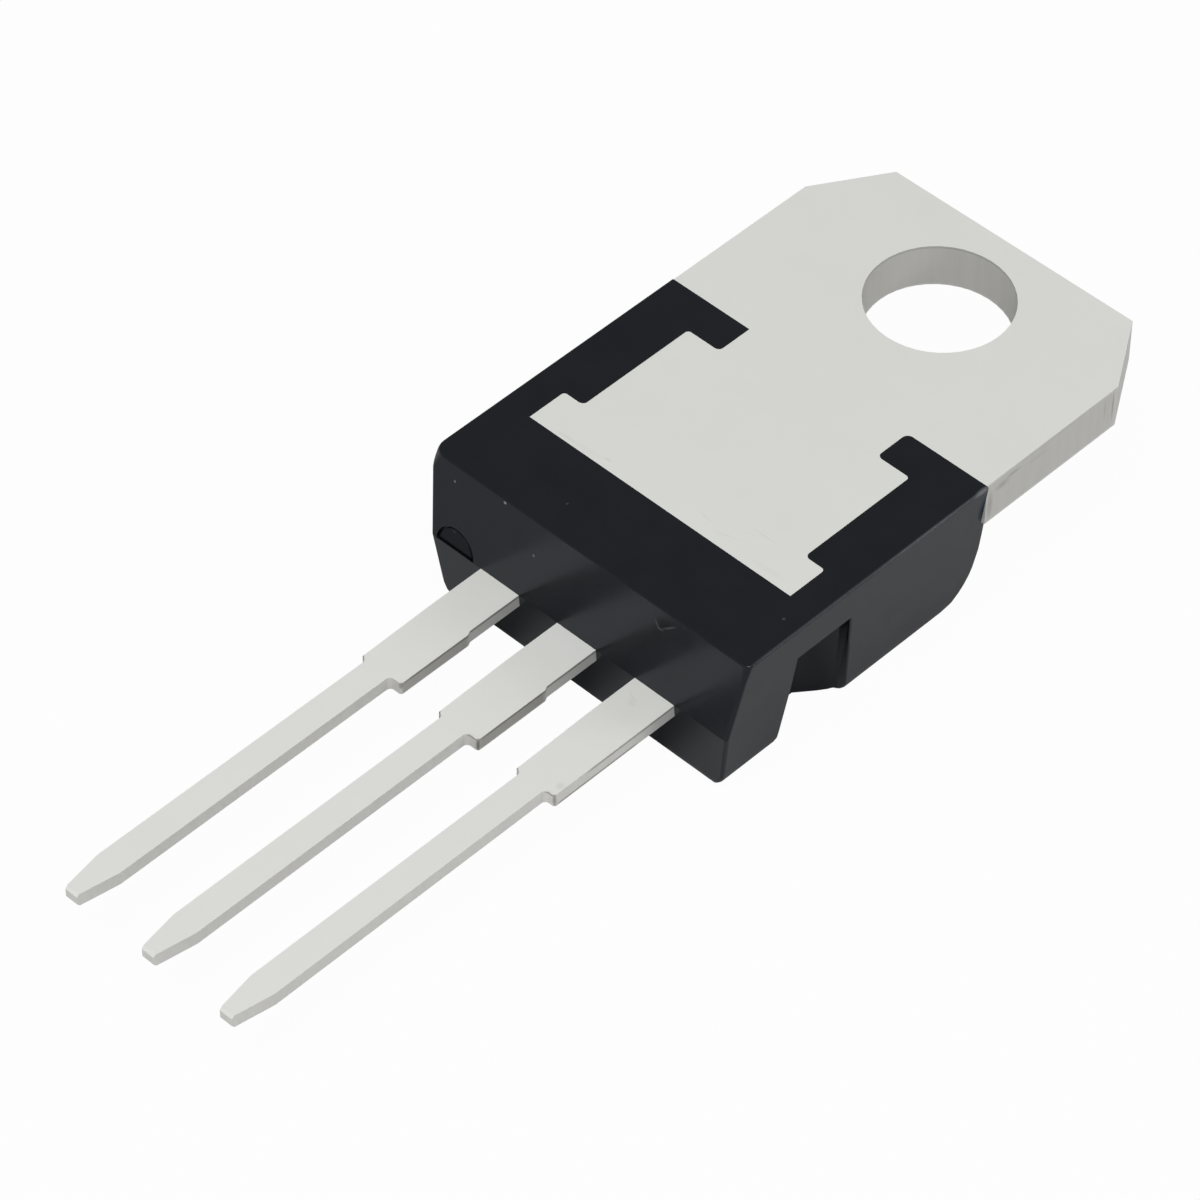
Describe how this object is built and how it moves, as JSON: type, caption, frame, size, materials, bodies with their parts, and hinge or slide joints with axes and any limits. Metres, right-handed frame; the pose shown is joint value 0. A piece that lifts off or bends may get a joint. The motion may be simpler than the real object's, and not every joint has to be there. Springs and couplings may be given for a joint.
{
  "type": "voltage regulator",
  "caption": "Linear voltage regulator in a moulded power package with a drilled metal tab, for bolting to a heat sink, and a row of flat tapered leads for soldering to a board.",
  "frame": {"origin": "middle of the whole outline in X and Y, at the level of the moulded front face that the part lies on", "axes": "+Y from the lead tips to the tab's end, +Z out of the heat-sink face, +X to the right when the leads point to the viewer and the heat-sink face is up"},
  "size_m": [0.0104, 0.029, 0.0045],
  "materials": {
    "mould_compound": "semi-gloss black epoxy",
    "tinned_copper": "satin tin plating over copper",
    "silicon": "polished dark grey",
    "solder": "dull grey solder",
    "bond_wire": "bright drawn wire"
  },
  "bodies": {
    "root": {"moulded_body": "mould_compound", "heat_spreader": "tinned_copper", "input_lead": "tinned_copper", "output_lead": "tinned_copper", "regulator_chip": "silicon", "chip_solder": "solder", "input_bond_wire": "bond_wire", "ground_bond_wire": "bond_wire", "output_bond_wire": "bond_wire", "sense_bond_wire": "bond_wire"}
  },
  "joints": []
}
